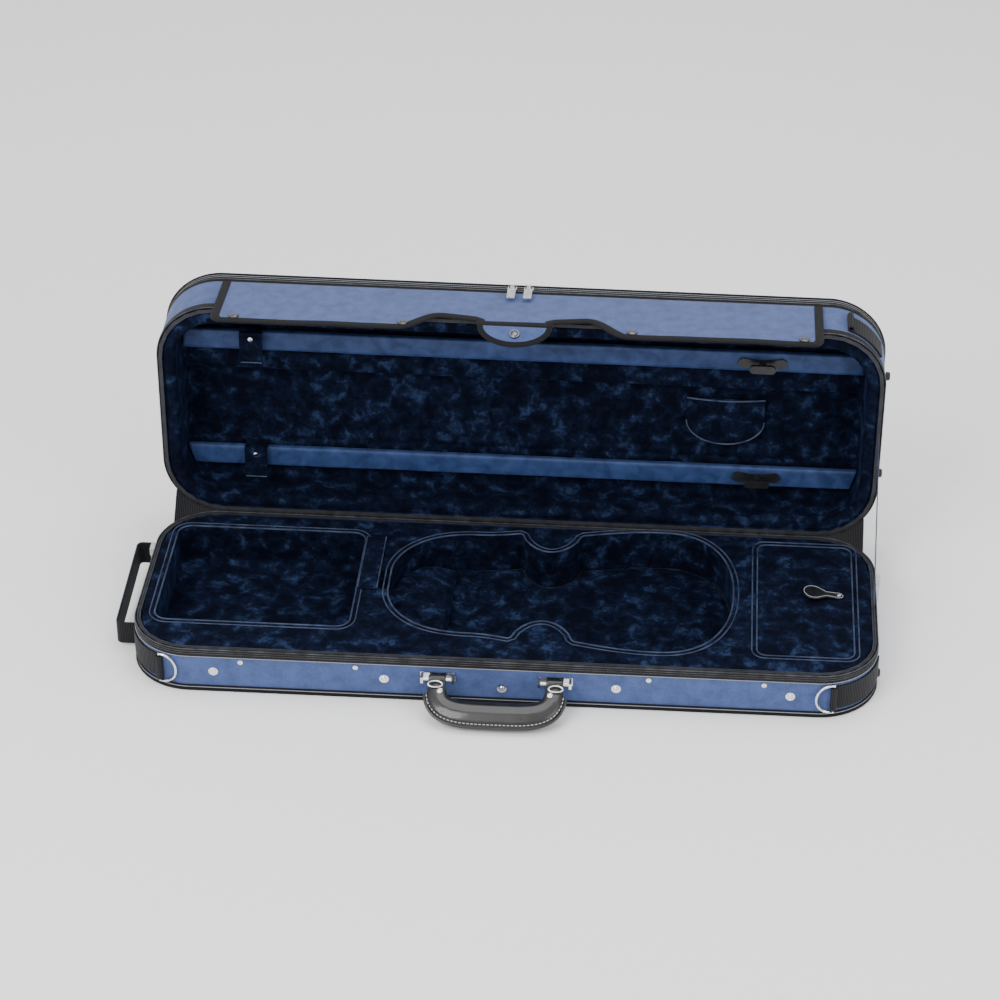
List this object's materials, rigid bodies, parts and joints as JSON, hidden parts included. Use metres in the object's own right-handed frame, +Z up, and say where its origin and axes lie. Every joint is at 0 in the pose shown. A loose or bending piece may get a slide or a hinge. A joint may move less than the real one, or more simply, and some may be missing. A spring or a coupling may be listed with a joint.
{
  "type": "violin case",
  "caption": "Oblong zippered violin case standing open: fitted velvet bed, covered accessory box, lid with bow holders, flap, carrying handle and rings.",
  "frame": {"origin": "middle of the base's underside, on the surface the case stands on", "axes": "+X along the case towards the lower-bout end, +Y from the handle side to the hinge, +Z up"},
  "size_m": [0.8207, 0.3952, 0.3221],
  "materials": {
    "canvas_blue": "woven canvas, matt",
    "cloth_black": "ribbed webbing and coated cloth",
    "velvet_navy": "crushed velvet",
    "satin_blue": "satin",
    "shell_board": "moulded board",
    "black_plastic": "moulded, semi-gloss",
    "steel_chrome": "polished",
    "leather_black": "smooth, glossy"
  },
  "bodies": {
    "base": {"base_bottom_cover": "cloth_black", "base_bottom_piping": "cloth_black", "base_shell": "shell_board", "base_side_cover": "canvas_blue", "base_zipper_tape": "cloth_black", "violin_bed_floor": "velvet_navy", "violin_bed_front": "velvet_navy", "violin_bed_rear": "velvet_navy", "left_foam_block": "velvet_navy", "right_foam_block": "velvet_navy", "neck_pad": "velvet_navy", "end_carry_strap": "cloth_black", "end_foot_base": "black_plastic", "handle_bracket_left": "steel_chrome", "handle_bracket_right": "steel_chrome", "strap_tab_left": "cloth_black", "strap_tab_right": "cloth_black", "snap_stud_1": "steel_chrome", "snap_stud_2": "steel_chrome", "snap_stud_3": "steel_chrome", "snap_stud_4": "steel_chrome", "snap_stud_5": "steel_chrome", "main_zip_slider_left": "steel_chrome", "main_zip_slider_right": "steel_chrome", "rear_hinge_tape": "cloth_black", "lid_stay_ribbon": "satin_blue"},
    "lid": {"lid_shell": "shell_board", "lid_side_cover": "canvas_blue", "lid_outer_piping": "cloth_black", "lid_zipper_tape": "cloth_black", "lid_lining_ring": "velvet_navy", "lid_lining_panel": "velvet_navy", "music_pocket_panel": "canvas_blue", "pocket_zipper": "cloth_black", "bow_bar_lower": "satin_blue", "bow_bar_upper": "satin_blue", "bow_ledge_lower": "velvet_navy", "bow_ledge_upper": "velvet_navy", "bow_tip_loop_lower": "velvet_navy", "bow_tip_loop_upper": "velvet_navy", "half_round_pocket": "velvet_navy", "spinner_base_lower": "black_plastic", "spinner_base_upper": "black_plastic", "lid_corner_tab": "cloth_black", "end_foot_lid_front": "black_plastic", "end_foot_lid_rear": "black_plastic"},
    "handle": {"handle_grip": "leather_black"},
    "ring_left": {"d_ring_left": "steel_chrome"},
    "ring_right": {"d_ring_right": "steel_chrome"},
    "strap": {"neck_strap": "velvet_navy"},
    "compartment_cover": {"compartment_lid": "velvet_navy"},
    "tab": {"pull_tab": "leather_black"},
    "spinner_upper": {"spinner_toggle_upper": "black_plastic"},
    "spinner_lower": {"spinner_toggle_lower": "black_plastic"},
    "slider_left": {"pocket_slider_left": "steel_chrome"},
    "slider_right": {"pocket_slider_right": "steel_chrome"},
    "pull_left": {"pocket_pull_left": "steel_chrome"},
    "pull_right": {"pocket_pull_right": "steel_chrome"},
    "flap": {"cover_flap": "canvas_blue"},
    "tongue": {"flap_tongue": "canvas_blue"}
  },
  "joints": [
    {"name": "lid_hinge", "type": "hinge", "parent": "base", "child": "lid", "pos_m": [0, 0.129, 0.0543], "axis": [-1, 0, 0], "range_deg": [-91, 0], "deforming": ["rear_hinge_tape", "lid_stay_ribbon"]},
    {"name": "handle_hinge", "type": "hinge", "parent": "base", "child": "handle", "pos_m": [-0.0055, -0.1375, 0.034], "axis": [-1, 0, 0], "range_deg": [0, 112]},
    {"name": "d_ring_left_hinge", "type": "hinge", "parent": "base", "child": "ring_left", "pos_m": [-0.36134, -0.12586, 0.0255], "axis": [0, 0, -1], "range_deg": [0, 150]},
    {"name": "d_ring_right_hinge", "type": "hinge", "parent": "base", "child": "ring_right", "pos_m": [0.3486, -0.13068, 0.0255], "axis": [0, 0, 1], "range_deg": [0, 150]},
    {"name": "neck_strap_hinge", "type": "hinge", "parent": "base", "child": "strap", "pos_m": [-0.155, 0.09, 0.0566], "axis": [-1, 0, 0], "range_deg": [0, 95]},
    {"name": "compartment_lid_hinge", "type": "hinge", "parent": "base", "child": "compartment_cover", "pos_m": [0.265, 0, 0.0535], "axis": [0, -1, 0], "range_deg": [0, 100]},
    {"name": "pull_tab_hinge", "type": "hinge", "parent": "compartment_cover", "child": "tab", "pos_m": [0.36, 0.0135, 0.0554], "axis": [0, 1, 0], "range_deg": [-8, 80]},
    {"name": "spinner_upper_turn", "type": "hinge", "parent": "lid", "child": "spinner_upper", "pos_m": [0.262, 0.15587, 0.25286], "axis": [0, -0.9998, 0.0175], "continuous": true},
    {"name": "spinner_lower_turn", "type": "hinge", "parent": "lid", "child": "spinner_lower", "pos_m": [0.262, 0.1533, 0.10588], "axis": [0, -0.9998, 0.0175], "continuous": true},
    {"name": "pocket_slider_left_run", "type": "slide", "parent": "lid", "child": "slider_left", "axis": [-1, 0, 0], "range_m": [0, 0.3]},
    {"name": "pocket_slider_right_run", "type": "slide", "parent": "lid", "child": "slider_right", "axis": [1, 0, 0], "range_m": [0, 0.3]},
    {"name": "pocket_pull_left_hinge", "type": "hinge", "parent": "slider_left", "child": "pull_left", "pos_m": [-0.014, 0.19946, 0.31771], "axis": [-1, 0, 0], "range_deg": [-2, 115]},
    {"name": "pocket_pull_right_hinge", "type": "hinge", "parent": "slider_right", "child": "pull_right", "pos_m": [0.004, 0.19946, 0.31771], "axis": [-1, 0, 0], "range_deg": [-2, 115]},
    {"name": "cover_flap_hinge", "type": "hinge", "parent": "lid", "child": "flap", "pos_m": [0, 0.19232, 0.31254], "axis": [-1, 0, 0], "range_deg": [-2, 115]},
    {"name": "flap_tongue_hinge", "type": "hinge", "parent": "flap", "child": "tongue", "pos_m": [-0.005, 0.10973, 0.31976], "axis": [1, 0, 0], "range_deg": [-27.01, 0]}
  ],
  "couplings": [
    {"joint": "pocket_pull_left_hinge", "follows": "cover_flap_hinge", "ratio": 1},
    {"joint": "pocket_pull_right_hinge", "follows": "cover_flap_hinge", "ratio": 1},
    {"joint": "flap_tongue_hinge", "follows": "lid_hinge", "ratio": 0.2967}
  ]
}
